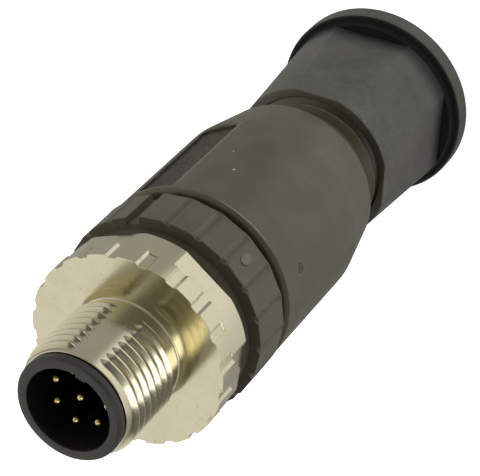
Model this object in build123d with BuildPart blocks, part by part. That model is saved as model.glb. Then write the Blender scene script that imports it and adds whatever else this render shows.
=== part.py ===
from build123d import *
import os
from math import cos, degrees, radians, sin

os.makedirs("parts", exist_ok=True)

# A straight, field-wired, eight-pin M12 plug that stands upright on the rear flange of its clamping nut.
# Z is the common axis, the pins point up, and every height is worked out from the nut upwards.
# Angles are counted about +Z from +X.

# Gaps between pieces
run_gap = 0.08            # radial, between pieces that turn in each other
fit_gap = 0.03            # radial, between pieces that are pushed together for good
seat_gap = 0.05           # axial, between pieces that rest on each other
axial_play = 0.10         # axial, of the coupling screw between its two stops

# Clamping nut
nut_length = 16.7
nut_front_wall = 0.92     # outside the thread, at the front edge
nut_flare = 1.1           # growth of the cone's radius from the front edge to the flange
nut_flange_overhang = 0.8
nut_flange_thickness = 2.0
nut_rim_edge = 0.3
nut_flat_end = 0.9        # height over the flange at which the flats run out
nut_flat_count = 4
nut_flat_angle = 33.5
nut_flat_front_depth = 0.33
nut_flat_rear_depth = 0.87
nut_exit_length = 5.0
cable_entry_clearance = 0.5
cable_entry_flare = 0.8
gland_thread_depth = 0.7
nut_opening = 4.5         # between nut and sleeve as delivered, with the nut not screwed home
gland_thread_pitch = 1.41
nut_turns_left = 2.8      # turns that it can still be screwed up

# Cable clamp inside the nut
cable_clearance = 0.7     # radial, of washer, clamp and partition
washer_thickness = 0.7
clamp_side_gap = 0.48     # radial, between the clamp's base and the nut's thread
clamp_base_thickness = 1.2
finger_wall = 0.8
finger_count = 8
finger_slot_width = 0.9
finger_tip_edge = 0.4
cable_seal_bore_radius = 3.4
cable_seal_wall = 1.55
cable_seal_proud = 0.8    # length of the seal in front of the fingers
cable_seal_edge = 0.3

# Body sleeve
neck_wall = 1.72
neck_plain_length = 2.9
neck_end_clearance = 0.25 # between neck and clamp with the nut screwed home
sleeve_rear_step = 1.34   # from the neck's thread out to the rear end of the cone
sleeve_taper = 1.21       # growth of the cone's radius from its rear end to the shoulder
sleeve_cylinder_length = 14.8
sleeve_cone_length = 6.3
sleeve_partition_thickness = 1.4
chamber_from_rear = 2.9   # from the rear end of the cone to the chamber's straight part
chamber_inset = 0.28      # of the chamber's wall inside the sleeve's thread
sleeve_thread_bore_length = 5.2
sleeve_edge = 0.35
sleeve_shoulder_edge = 0.2
label_angle = 152.5
label_width = 4.3
label_depth = 0.53
label_front_margin = 0.85
label_rear_margin = 0.65
label_corner = 0.5
label_edge = 0.15

# Sleeve seal and grip ring
sleeve_seal_height = 1.0
sleeve_seal_inset = 0.95  # under the sleeve
sleeve_seal_edge = 0.3
grip_length = 6.4
grip_step = 0.15          # of the grip ring over the sleeve
grip_band_length = 1.2
grip_band_inset = 0.95    # under the lands
grip_rib_count = 20
grip_groove_width = 1.3
grip_groove_depth = 0.3
grip_groove_angle = 14.5
grip_front_slope = 0.35
index_groove_angle = 143.0
index_groove_width = 1.4
index_groove_depth = 0.75
index_dot_angle = 79.2
index_dot_radius = 0.5
index_dot_height = 0.12
index_dot_from_front = 4.3

# Terminal carrier
carrier_thread_step = 0.8 # of the carrier's thread over the terminal zone
carrier_boss_length = 2.1
carrier_thread_length = 5.5
terminal_zone_wall = 0.8  # outside the terminal blocks
terminal_zone_length = 9.4

# Coupling screw, thread M12 x 1
barrel_wall = 0.52        # under the thread's root
thread_depth = 0.5
thread_length = 6.5
lead_length = 0.9
lead_depth = 0.5          # of the front end under the thread's crests
undercut_length = 1.8
disc_thickness = 2.3
disc_inset = 0.32         # under the grip ring
lobe_count = 20
lobe_notch_angle = 61.8
lobe_notch_depth = 0.4
lobe_notch_radius = 0.8
lobe_round = 0.1
collar_length = 2.6
collar_inset = 0.18       # under the disc
collar_flat_count = 6
collar_flat_depth = 0.44
collar_flat_angle = 26.8
channel_angle = 114.0
channel_width = 30.0
channel_count = 2

# Contact insert
well_radius = 4.25
shroud_wall = 0.60
well_depth = 9.0
lip_overhang = 0.45       # of the lip over the shroud
lip_length = 0.9
lip_edge = 0.35
key_angle = 108.5
key_width = 1.1
key_height = 0.85
key_from_front = 0.5
insert_length = 18.4

# Contact pins with their screw terminals
pin_radius = 0.4
pin_circle_inset = 1.5    # of the pin circle inside the well's wall
pin_count = 7
pin_first_angle = 190.5
pin_tip_depth = 1.9
pin_tip_edge = 0.25
link_thickness = 0.8
link_width = 0.9
link_from_thread = 0.9
block_inner_radius = 3.7
block_depth = 2.2
block_width = 2.0
block_length = 4.6
wire_hole_radius = 0.55
wire_hole_depth = 3.8
wire_hole_inset = 1.1     # from the block's inner face
screw_from_block_front = 1.7
screw_shank_radius = 0.6
screw_head_radius = 0.95
screw_head_height = 0.65
screw_stand_off = 0.3
screw_slot_width = 0.3
screw_slot_depth = 0.3

# Heights along the axis
z_flange_top = nut_flange_thickness
z_nut_top = nut_length
z_sleeve_rear = z_nut_top + nut_opening
z_sleeve_shoulder = z_sleeve_rear + sleeve_cone_length
z_sleeve_front = z_sleeve_shoulder + sleeve_cylinder_length
nut_travel = gland_thread_pitch * nut_turns_left
z_seal_rear = z_sleeve_front + seat_gap
z_seal_front = z_seal_rear + sleeve_seal_height
z_grip_rear = z_seal_front + seat_gap
z_grip_front = z_grip_rear + grip_length
z_carrier_front = z_grip_front + carrier_boss_length
z_collar_rear = z_grip_front + axial_play
z_disc_rear = z_collar_rear + collar_length
z_disc_front = z_disc_rear + disc_thickness
z_thread_rear = z_disc_front + undercut_length
z_lead_rear = z_thread_rear + thread_length
z_barrel_front = z_lead_rear + lead_length
z_lip_rear = z_barrel_front + axial_play
z_front = z_lip_rear + lip_length

z_well_floor = z_front - well_depth
z_insert_rear = z_front - insert_length
z_carrier_thread_rear = z_grip_rear - carrier_thread_length
z_carrier_rear = z_carrier_thread_rear - terminal_zone_length
z_link_front = z_carrier_thread_rear - link_from_thread
z_block_front = z_link_front - link_thickness
z_block_rear = z_block_front - block_length
z_screw = z_block_front - screw_from_block_front
z_pin_tip = z_front - pin_tip_depth

z_washer_rear = nut_exit_length + seat_gap
z_washer_front = z_washer_rear + washer_thickness
z_clamp_rear = z_washer_front + seat_gap
z_clamp_base_front = z_clamp_rear + clamp_base_thickness
z_neck_end = z_clamp_base_front + nut_travel + neck_end_clearance

# Radii from the cable outwards
cable_entry_radius = cable_seal_bore_radius + cable_entry_clearance
cable_hole_radius = cable_seal_bore_radius + cable_clearance
cable_seal_radius = cable_seal_bore_radius + cable_seal_wall
finger_bore_radius = cable_seal_radius + seat_gap
finger_outer_radius = finger_bore_radius + finger_wall
neck_bore_radius = finger_outer_radius + run_gap
gland_thread_radius = neck_bore_radius + neck_wall
nut_thread_bore = gland_thread_radius + run_gap
clamp_outer_radius = nut_thread_bore - clamp_side_gap
nut_front_radius = nut_thread_bore + nut_front_wall
nut_cone_rear_radius = nut_front_radius + nut_flare
nut_flange_radius = nut_cone_rear_radius + nut_flange_overhang
sleeve_rear_radius = gland_thread_radius + sleeve_rear_step
sleeve_radius = sleeve_rear_radius + sleeve_taper
grip_radius = sleeve_radius + grip_step
grip_band_radius = grip_radius - grip_band_inset
sleeve_seal_radius = sleeve_radius - sleeve_seal_inset
disc_radius = grip_radius - disc_inset
collar_radius = disc_radius - collar_inset

# Radii from the contacts outwards
pin_circle_radius = well_radius - pin_circle_inset
insert_radius = well_radius + shroud_wall
lip_radius = insert_radius + lip_overhang
barrel_bore = insert_radius + run_gap
thread_root_radius = barrel_bore + barrel_wall
thread_radius = thread_root_radius + thread_depth
lead_radius = thread_radius - lead_depth
wire_hole_circle = block_inner_radius + wire_hole_inset
screw_axis_inner = wire_hole_circle + wire_hole_radius
block_outer_radius = block_inner_radius + block_depth
terminal_zone_radius = block_outer_radius + terminal_zone_wall
carrier_radius = terminal_zone_radius + carrier_thread_step
sleeve_thread_bore = carrier_radius + run_gap
sleeve_chamber_radius = sleeve_thread_bore - chamber_inset

# Heights inside the sleeve: the cable seal meets the partition just when the nut is screwed home
z_chamber_rear = z_sleeve_rear + chamber_from_rear
z_partition_front = z_chamber_rear - sleeve_chamber_radius + cable_hole_radius
z_partition_rear = z_partition_front - sleeve_partition_thickness
z_cable_seal_front = z_partition_rear - seat_gap - nut_travel
z_finger_tip = z_cable_seal_front - cable_seal_proud

# Angles of the contacts
pin_pitch_angle = 360.0 / pin_count
terminal_count = pin_count + 1
terminal_pitch_angle = 360.0 / terminal_count
terminal_first_angle = pin_first_angle - pin_pitch_angle / 2


def polar(radius, angle):
    """A point on a circle about the axis."""
    return (radius * cos(radians(angle)), radius * sin(radians(angle)))


def radial_plane(angle, height, distance=0.0):
    """A sketch plane that looks outwards at an angle; its X runs round the axis and its Y runs up."""
    direction = Vector(*polar(1.0, angle), 0.0)
    return Plane(
        origin=direction * distance + Vector(0, 0, height),
        x_dir=Vector(*polar(1.0, angle + 90.0), 0.0),
        z_dir=direction,
    )


def axial_plane(angle):
    """A sketch plane through the axis; its X runs outwards at an angle and its Y runs up."""
    return Plane(
        origin=(0, 0, 0),
        x_dir=Vector(*polar(1.0, angle), 0.0),
        z_dir=Vector(*polar(1.0, angle - 90.0), 0.0),
    )


def contact_angles(index):
    """Pin angle and terminal angle of contact 0 to 7; contact 0 is the middle pin."""
    terminal_angle = terminal_first_angle + index * terminal_pitch_angle
    pin_angle = terminal_first_angle + (index - 0.5) * pin_pitch_angle
    return pin_angle, terminal_angle


def contact_pin_centre(index):
    """Centre of a contact pin in plan."""
    if index == 0:
        return (0.0, 0.0)
    return polar(pin_circle_radius, contact_angles(index)[0])


# Clamping nut: a flared cap nut with four tapered flats and a round rear flange
z_flat_rear = z_flange_top + nut_flat_end
with BuildPart() as clamping_nut:
    with BuildSketch(Plane.XZ):
        with BuildLine():
            Polyline(
                (cable_entry_radius, nut_exit_length),
                (cable_entry_radius, cable_entry_flare),
                (cable_entry_radius + cable_entry_flare, 0),
                (nut_flange_radius, 0),
                (nut_flange_radius, z_flange_top),
                (nut_cone_rear_radius, z_flange_top),
                (nut_front_radius, z_nut_top),
                (nut_thread_bore, z_nut_top),
                (nut_thread_bore, nut_exit_length),
                close=True,
            )
        make_face()
    revolve(axis=Axis.Z)
    for index in range(nut_flat_count):
        angle = nut_flat_angle + index * 360.0 / nut_flat_count
        with BuildSketch(axial_plane(angle)):
            with BuildLine():
                Polyline(
                    (nut_cone_rear_radius - nut_flat_rear_depth, z_flat_rear),
                    (nut_flange_radius, z_flat_rear),
                    (nut_flange_radius, z_nut_top),
                    (nut_front_radius - nut_flat_front_depth, z_nut_top),
                    close=True,
                )
            make_face()
        extrude(amount=nut_flange_radius, both=True, mode=Mode.SUBTRACT)
    rim_edges = clamping_nut.edges().filter_by(GeomType.CIRCLE).filter_by(
        lambda edge: abs(edge.radius - nut_flange_radius) < 0.001
    )
    chamfer(rim_edges, length=nut_rim_edge)
clamping_nut.part.label = "clamping_nut"
export_step(clamping_nut.part, "parts/clamping_nut.step")

# Slip washer between the nut's inner shoulder and the clamp
with BuildPart() as slip_washer:
    with BuildSketch(Plane.XY.offset(z_washer_rear)):
        Circle(clamp_outer_radius)
        Circle(cable_hole_radius, mode=Mode.SUBTRACT)
    extrude(amount=washer_thickness)
slip_washer.part.label = "slip_washer"
export_step(slip_washer.part, "parts/slip_washer.step")

# Cable clamp: a base ring with a crown of slotted fingers
with BuildPart() as cable_clamp:
    with BuildSketch(Plane.XY.offset(z_clamp_rear)):
        Circle(clamp_outer_radius)
        Circle(cable_hole_radius, mode=Mode.SUBTRACT)
    extrude(amount=clamp_base_thickness)
    with BuildSketch(Plane.XY.offset(z_clamp_base_front)):
        Circle(finger_outer_radius)
        Circle(finger_bore_radius, mode=Mode.SUBTRACT)
        with PolarLocations(0, finger_count // 2, angular_range=180, endpoint=False):
            Rectangle(2 * clamp_outer_radius, finger_slot_width, mode=Mode.SUBTRACT)
    extrude(amount=z_finger_tip - z_clamp_base_front)
    tip_edges = cable_clamp.edges().filter_by(GeomType.CIRCLE).filter_by(
        lambda edge: abs(edge.radius - finger_outer_radius) < 0.001 and edge.center().Z > z_finger_tip - 0.01
    )
    chamfer(tip_edges, length=finger_tip_edge)
cable_clamp.part.label = "cable_clamp"
export_step(cable_clamp.part, "parts/cable_clamp.step")

# Cable seal: a rubber tube inside the fingers
with BuildPart() as cable_seal:
    with BuildSketch(Plane.XY.offset(z_clamp_base_front + seat_gap)):
        Circle(cable_seal_radius)
        Circle(cable_seal_bore_radius, mode=Mode.SUBTRACT)
    extrude(amount=z_cable_seal_front - z_clamp_base_front - seat_gap)
    chamfer(cable_seal.edges().filter_by(GeomType.CIRCLE), length=cable_seal_edge)
cable_seal.part.label = "cable_seal"
export_step(cable_seal.part, "parts/cable_seal.step")

# Body sleeve: cylinder, shoulder and cone outside, threaded neck behind, chamber and partition inside
z_sleeve_thread_rear = z_sleeve_front - sleeve_thread_bore_length
z_seat_step = z_finger_tip + nut_travel + seat_gap
seat_bore_radius = cable_seal_radius + run_gap
neck_undercut_radius = gland_thread_radius - gland_thread_depth
with BuildPart() as body_sleeve:
    with BuildSketch(Plane.XZ):
        with BuildLine():
            Polyline(
                (sleeve_thread_bore, z_sleeve_front),
                (sleeve_radius, z_sleeve_front),
                (sleeve_radius, z_sleeve_shoulder),
                (sleeve_rear_radius, z_sleeve_rear),
                (neck_undercut_radius, z_sleeve_rear),
                (neck_undercut_radius, z_sleeve_rear - neck_plain_length),
                (gland_thread_radius, z_sleeve_rear - neck_plain_length),
                (gland_thread_radius, z_neck_end),
                (neck_bore_radius, z_neck_end),
                (neck_bore_radius, z_seat_step),
                (seat_bore_radius, z_seat_step),
                (seat_bore_radius, z_partition_rear),
                (cable_hole_radius, z_partition_rear),
                (cable_hole_radius, z_partition_front),
                (sleeve_chamber_radius, z_chamber_rear),
                (sleeve_chamber_radius, z_sleeve_thread_rear),
                (sleeve_thread_bore, z_sleeve_thread_rear),
                close=True,
            )
        make_face()
    revolve(axis=Axis.Z)
    shoulder_edge = body_sleeve.edges().filter_by(GeomType.CIRCLE).filter_by(
        lambda edge: abs(edge.radius - sleeve_radius) < 0.001
    ).sort_by(Axis.Z)
    chamfer(shoulder_edge[0], length=sleeve_shoulder_edge)
    chamfer(shoulder_edge[-1], length=sleeve_edge)
    label_length = sleeve_cylinder_length - label_front_margin - label_rear_margin
    z_label = z_sleeve_front - label_front_margin - label_length / 2
    with BuildSketch(radial_plane(label_angle, z_label, sleeve_radius - label_depth)):
        RectangleRounded(label_width, label_length, label_corner)
    extrude(amount=2 * label_depth, mode=Mode.SUBTRACT)
    label_rim = body_sleeve.edges().filter_by(
        lambda edge: all(
            abs(Vector(corner.X, corner.Y, 0).length - sleeve_radius) < 0.001
            and abs(corner.Z - z_label) < label_length / 2 + 0.01
            for corner in edge.vertices()
        )
        and edge.length < label_length
    )
    chamfer(label_rim, length=label_edge)
body_sleeve.part.label = "body_sleeve"
export_step(body_sleeve.part, "parts/body_sleeve.step")

# Seal ring that closes the joint between the sleeve and the grip ring
with BuildPart() as sleeve_seal:
    with BuildSketch(Plane.XY.offset(z_seal_rear)):
        Circle(sleeve_seal_radius)
        Circle(sleeve_thread_bore, mode=Mode.SUBTRACT)
    extrude(amount=sleeve_seal_height)
    outer_edges = sleeve_seal.edges().filter_by(GeomType.CIRCLE).filter_by(
        lambda edge: abs(edge.radius - sleeve_seal_radius) < 0.001
    )
    chamfer(outer_edges, length=sleeve_seal_edge)
sleeve_seal.part.label = "sleeve_seal"
export_step(sleeve_seal.part, "parts/sleeve_seal.step")

# Grip ring: a smooth band in front, lands and grooves behind, a raised dot, and one deep index groove that
# takes the place of the nearest plain one
z_lands_front = z_grip_front - grip_band_length
with BuildPart() as grip_ring:
    with BuildSketch(Plane.XZ):
        with BuildLine():
            Polyline(
                (grip_band_radius, z_grip_rear),
                (grip_radius, z_grip_rear),
                (grip_radius, z_lands_front - grip_front_slope),
                (grip_band_radius, z_lands_front),
                close=True,
            )
        make_face()
    revolve(axis=Axis.Z)
    groove_mouth = grip_radius + grip_groove_depth
    groove_half_angle = degrees(grip_groove_width / grip_radius)
    for index in range(grip_rib_count):
        groove_angle = grip_groove_angle + index * 360.0 / grip_rib_count
        if abs(groove_angle - index_groove_angle) < 180.0 / grip_rib_count:
            continue
        with BuildSketch(Plane.XY.offset(z_grip_rear)):
            with BuildLine():
                Polyline(
                    polar(grip_radius - grip_groove_depth, groove_angle),
                    polar(groove_mouth, groove_angle - groove_half_angle),
                    polar(groove_mouth, groove_angle + groove_half_angle),
                    close=True,
                )
            make_face()
        extrude(amount=grip_length, mode=Mode.SUBTRACT)
    with BuildSketch(radial_plane(index_groove_angle, z_grip_rear, grip_radius - index_groove_depth)):
        Rectangle(index_groove_width, 2 * grip_length)
    extrude(amount=2 * index_groove_depth, mode=Mode.SUBTRACT)
    with BuildSketch(Plane.XY.offset(z_grip_rear)):
        Circle(grip_band_radius)
    extrude(amount=grip_length)
    with BuildSketch(Plane.XY.offset(z_grip_rear)):
        Circle(carrier_radius + fit_gap)
    extrude(amount=grip_length, mode=Mode.SUBTRACT)
    with BuildSketch(radial_plane(index_dot_angle, z_grip_front - index_dot_from_front, grip_band_radius)):
        Circle(index_dot_radius)
    extrude(amount=grip_radius - grip_band_radius + index_dot_height)
grip_ring.part.label = "grip_ring"
export_step(grip_ring.part, "parts/grip_ring.step")

# Terminal carrier: boss for the coupling screw, seat for the grip ring, sleeve thread and terminal pockets
with BuildPart() as terminal_carrier:
    with BuildSketch(Plane.XY.offset(z_carrier_thread_rear)):
        Circle(carrier_radius)
    extrude(amount=z_carrier_front - z_carrier_thread_rear)
    with BuildSketch(Plane.XY.offset(z_carrier_rear)):
        Circle(terminal_zone_radius)
    extrude(amount=terminal_zone_length)
    with BuildSketch(Plane.XY.offset(z_insert_rear - seat_gap)):
        Circle(insert_radius + fit_gap)
    extrude(amount=z_carrier_front - z_insert_rear + seat_gap, mode=Mode.SUBTRACT)
    for index in range(terminal_count):
        pin_x, pin_y = contact_pin_centre(index)
        terminal_angle = contact_angles(index)[1]
        link_end = polar(block_inner_radius + block_depth / 2, terminal_angle)
        with BuildSketch(Plane.XY.offset(z_insert_rear)):
            with Locations((pin_x, pin_y)):
                Circle(pin_radius + fit_gap)
        extrude(amount=z_carrier_rear - z_insert_rear, mode=Mode.SUBTRACT)
        with BuildSketch(Plane.XY.offset(z_carrier_rear)):
            with BuildLine():
                Line((pin_x, pin_y), link_end)
            trace(line_width=link_width + 2 * fit_gap)
            with Locations((pin_x, pin_y)):
                Circle(link_width / 2 + fit_gap)
        extrude(amount=z_link_front + fit_gap - z_carrier_rear, mode=Mode.SUBTRACT)
        pocket = radial_plane(terminal_angle, z_carrier_rear, block_inner_radius - fit_gap)
        with BuildSketch(pocket):
            with Locations((0, (z_block_front - z_carrier_rear) / 2)):
                Rectangle(block_width + 2 * fit_gap, z_block_front - z_carrier_rear)
        extrude(amount=block_depth + 2 * fit_gap, mode=Mode.SUBTRACT)
        with BuildSketch(radial_plane(terminal_angle, z_screw, block_outer_radius)):
            Circle(screw_head_radius + run_gap)
        extrude(amount=terminal_zone_radius, mode=Mode.SUBTRACT)
terminal_carrier.part.label = "terminal_carrier"
export_step(terminal_carrier.part, "parts/terminal_carrier.step")

# Coupling screw: bored thread barrel with two plain channels, lobed disc and collar with flats, in one piece
with BuildPart() as coupling_screw:
    with BuildSketch(Plane.XZ):
        with BuildLine():
            Polyline(
                (0, z_disc_rear),
                (thread_root_radius, z_disc_rear),
                (thread_root_radius, z_thread_rear),
                (thread_radius, z_thread_rear),
                (thread_radius, z_lead_rear),
                (lead_radius, z_barrel_front),
                (0, z_barrel_front),
                close=True,
            )
        make_face()
    revolve(axis=Axis.Z)
    channel_reach = 2 * thread_radius
    for index in range(channel_count):
        middle = channel_angle + index * 360.0 / channel_count
        with BuildSketch(Plane.XY.offset(z_disc_front)):
            Polygon(
                (0, 0),
                polar(channel_reach, middle - channel_width / 2),
                polar(channel_reach, middle + channel_width / 2),
                align=None,
            )
            Circle(thread_root_radius, mode=Mode.SUBTRACT)
        extrude(amount=z_barrel_front - z_disc_front, mode=Mode.SUBTRACT)
    with BuildSketch(Plane.XY.offset(z_disc_rear)) as disc_outline:
        Circle(disc_radius)
        notch_centre = disc_radius - lobe_notch_depth + lobe_notch_radius
        with PolarLocations(notch_centre, lobe_count, start_angle=lobe_notch_angle):
            Circle(lobe_notch_radius, mode=Mode.SUBTRACT)
        fillet(disc_outline.vertices(), radius=lobe_round)
    extrude(amount=disc_thickness)
    with BuildSketch(Plane.XY.offset(z_collar_rear)):
        Circle(collar_radius)
        RegularPolygon(
            radius=collar_radius - collar_flat_depth,
            side_count=collar_flat_count,
            major_radius=False,
            rotation=collar_flat_angle + 180.0 / collar_flat_count,
            mode=Mode.INTERSECT,
        )
    extrude(amount=collar_length)
    with BuildSketch(Plane.XY.offset(z_collar_rear)):
        Circle(barrel_bore)
    extrude(amount=z_barrel_front - z_collar_rear, mode=Mode.SUBTRACT)
    with BuildSketch(Plane.XY.offset(z_collar_rear)):
        Circle(sleeve_thread_bore)
    extrude(amount=carrier_boss_length + axial_play, mode=Mode.SUBTRACT)
coupling_screw.part.label = "coupling_screw"
export_step(coupling_screw.part, "parts/coupling_screw.step")

# Contact insert: shroud with a bevelled lip, open well with a coding key, and a floor that holds the pins
with BuildPart() as contact_insert:
    with BuildSketch(Plane.XY.offset(z_insert_rear)):
        Circle(insert_radius)
    extrude(amount=z_lip_rear - z_insert_rear)
    with BuildSketch(Plane.XY.offset(z_lip_rear)):
        Circle(lip_radius)
    extrude(amount=lip_length)
    chamfer(contact_insert.edges().filter_by(GeomType.CIRCLE).sort_by(Axis.Z)[-1], length=lip_edge)
    with BuildSketch(Plane.XY.offset(z_well_floor)):
        Circle(well_radius)
    extrude(amount=well_depth, mode=Mode.SUBTRACT)
    with BuildSketch(Plane.XY.offset(z_well_floor)):
        with PolarLocations(well_radius, 1, start_angle=key_angle):
            Rectangle(2 * key_height, key_width)
        Circle(insert_radius, mode=Mode.INTERSECT)
    extrude(amount=well_depth - key_from_front)
    with BuildSketch(Plane.XY.offset(z_well_floor)):
        for index in range(terminal_count):
            with Locations(contact_pin_centre(index)):
                Circle(pin_radius + fit_gap)
    extrude(amount=z_insert_rear - z_well_floor, mode=Mode.SUBTRACT)
contact_insert.part.label = "contact_insert"
export_step(contact_insert.part, "parts/contact_insert.step")

# Contact pins: each is a round pin, a link and a terminal block with a wire hole and a tapped hole
for index in range(terminal_count):
    pin_x, pin_y = contact_pin_centre(index)
    terminal_angle = contact_angles(index)[1]
    block_middle = polar(block_inner_radius + block_depth / 2, terminal_angle)
    with BuildPart() as contact_pin:
        with BuildSketch(Plane.XY.offset(z_block_front)):
            with Locations((pin_x, pin_y)):
                Circle(pin_radius)
        extrude(amount=z_pin_tip - z_block_front)
        chamfer(contact_pin.edges().filter_by(GeomType.CIRCLE).sort_by(Axis.Z)[-1], length=pin_tip_edge)
        with BuildSketch(Plane.XY.offset(z_block_front)):
            with BuildLine():
                Line((pin_x, pin_y), block_middle)
            trace(line_width=link_width)
            with Locations((pin_x, pin_y)):
                Circle(link_width / 2)
        extrude(amount=link_thickness)
        with BuildSketch(radial_plane(terminal_angle, z_block_front, block_inner_radius)):
            with Locations((0, -block_length / 2)):
                Rectangle(block_width, block_length)
        extrude(amount=block_depth)
        with BuildSketch(Plane.XY.offset(z_block_rear)):
            with Locations(polar(wire_hole_circle, terminal_angle)):
                Circle(wire_hole_radius)
        extrude(amount=wire_hole_depth, mode=Mode.SUBTRACT)
        with BuildSketch(radial_plane(terminal_angle, z_screw, wire_hole_circle)):
            Circle(screw_shank_radius + fit_gap)
        extrude(amount=block_depth, mode=Mode.SUBTRACT)
    name = f"contact_pin_{index + 1}"
    contact_pin.part.label = name
    export_step(contact_pin.part, f"parts/{name}.step")

# Terminal screws: slotted heads that stand a little off their blocks, as delivered
for index in range(terminal_count):
    terminal_angle = contact_angles(index)[1]
    head_distance = block_outer_radius + screw_stand_off
    with BuildPart() as terminal_screw:
        with BuildSketch(radial_plane(terminal_angle, z_screw, screw_axis_inner)):
            Circle(screw_shank_radius)
        extrude(amount=head_distance - screw_axis_inner)
        with BuildSketch(radial_plane(terminal_angle, z_screw, head_distance)):
            Circle(screw_head_radius)
        extrude(amount=screw_head_height)
        slot_floor = head_distance + screw_head_height - screw_slot_depth
        with BuildSketch(radial_plane(terminal_angle, z_screw, slot_floor)):
            Rectangle(3 * screw_head_radius, screw_slot_width)
        extrude(amount=2 * screw_slot_depth, mode=Mode.SUBTRACT)
    name = f"terminal_screw_{index + 1}"
    terminal_screw.part.label = name
    export_step(terminal_screw.part, f"parts/{name}.step")
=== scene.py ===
from math import acos, cos, degrees, pi, radians, sin

import bmesh
import bpy
import numpy as np
from mathutils import Matrix, Vector


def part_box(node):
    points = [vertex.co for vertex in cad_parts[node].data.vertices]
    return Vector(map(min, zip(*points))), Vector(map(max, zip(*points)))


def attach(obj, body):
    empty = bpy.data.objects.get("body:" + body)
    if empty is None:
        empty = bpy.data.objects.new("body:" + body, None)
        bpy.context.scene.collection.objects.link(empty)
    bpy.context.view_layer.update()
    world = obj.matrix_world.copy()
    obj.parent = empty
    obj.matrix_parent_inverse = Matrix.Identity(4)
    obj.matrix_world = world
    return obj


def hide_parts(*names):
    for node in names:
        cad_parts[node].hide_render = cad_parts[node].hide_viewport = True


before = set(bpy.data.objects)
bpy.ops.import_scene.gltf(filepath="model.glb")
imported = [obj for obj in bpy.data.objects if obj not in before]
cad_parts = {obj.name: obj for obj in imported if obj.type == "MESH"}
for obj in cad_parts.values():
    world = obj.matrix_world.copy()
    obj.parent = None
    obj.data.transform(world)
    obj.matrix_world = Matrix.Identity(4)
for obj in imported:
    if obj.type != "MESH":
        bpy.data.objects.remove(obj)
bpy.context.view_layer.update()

mm = 0.001
scene = bpy.context.scene
print("frame loaded")


class Signal:  # a node's output that takes part in sums
    def __init__(self, kit, socket):
        self.kit = kit
        self.socket = socket

    def math(self, operation, *values):
        return self.kit.node("ShaderNodeMath", {"operation": operation}, dict(enumerate(values)))

    def __add__(self, other):
        return self.math("ADD", self, other)

    def __sub__(self, other):
        return self.math("SUBTRACT", self, other)

    def __rsub__(self, other):
        return self.math("SUBTRACT", other, self)

    def __mul__(self, other):
        return self.math("MULTIPLY", self, other)

    def __truediv__(self, other):
        return self.math("DIVIDE", self, other)

    def __rtruediv__(self, other):
        return self.math("DIVIDE", other, self)

    def __abs__(self):
        return self.math("ABSOLUTE", self)

    __radd__ = __add__
    __rmul__ = __mul__

    def least(self, other):
        return self.math("MINIMUM", self, other)

    def most(self, other):
        return self.math("MAXIMUM", self, other)

    def wrapped(self, low, high):
        return self.math("WRAP", self, high, low)

    def sine(self):
        return self.math("SINE", self)

    def cosine(self):
        return self.math("COSINE", self)

    def ramp(self, low, high, start=0.0, end=1.0, smooth=True):  # start at low, end at high, held outside
        how = {"interpolation_type": "SMOOTHSTEP" if smooth else "LINEAR"}
        return self.kit.node("ShaderNodeMapRange", how, {0: self, 1: low, 2: high, 3: start, 4: end})


class NodeKit:  # makes and links the nodes of one tree
    def __init__(self, tree):
        self.tree = tree

    def node(self, kind, settings=None, inputs=None, output=0):
        made = self.tree.nodes.new(kind)
        for name, value in (settings or {}).items():
            setattr(made, name, value)
        for name, value in (inputs or {}).items():
            if isinstance(value, Signal):
                self.tree.links.new(value.socket, made.inputs[name])
            else:
                made.inputs[name].default_value = value
        return Signal(self, made.outputs[output])

    def split(self, vector):
        first = self.node("ShaderNodeSeparateXYZ", None, {0: vector})
        return [Signal(self, socket) for socket in first.socket.node.outputs]

    def join(self, x, y, z):
        return self.node("ShaderNodeCombineXYZ", None, {0: x, 1: y, 2: z})


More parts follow.
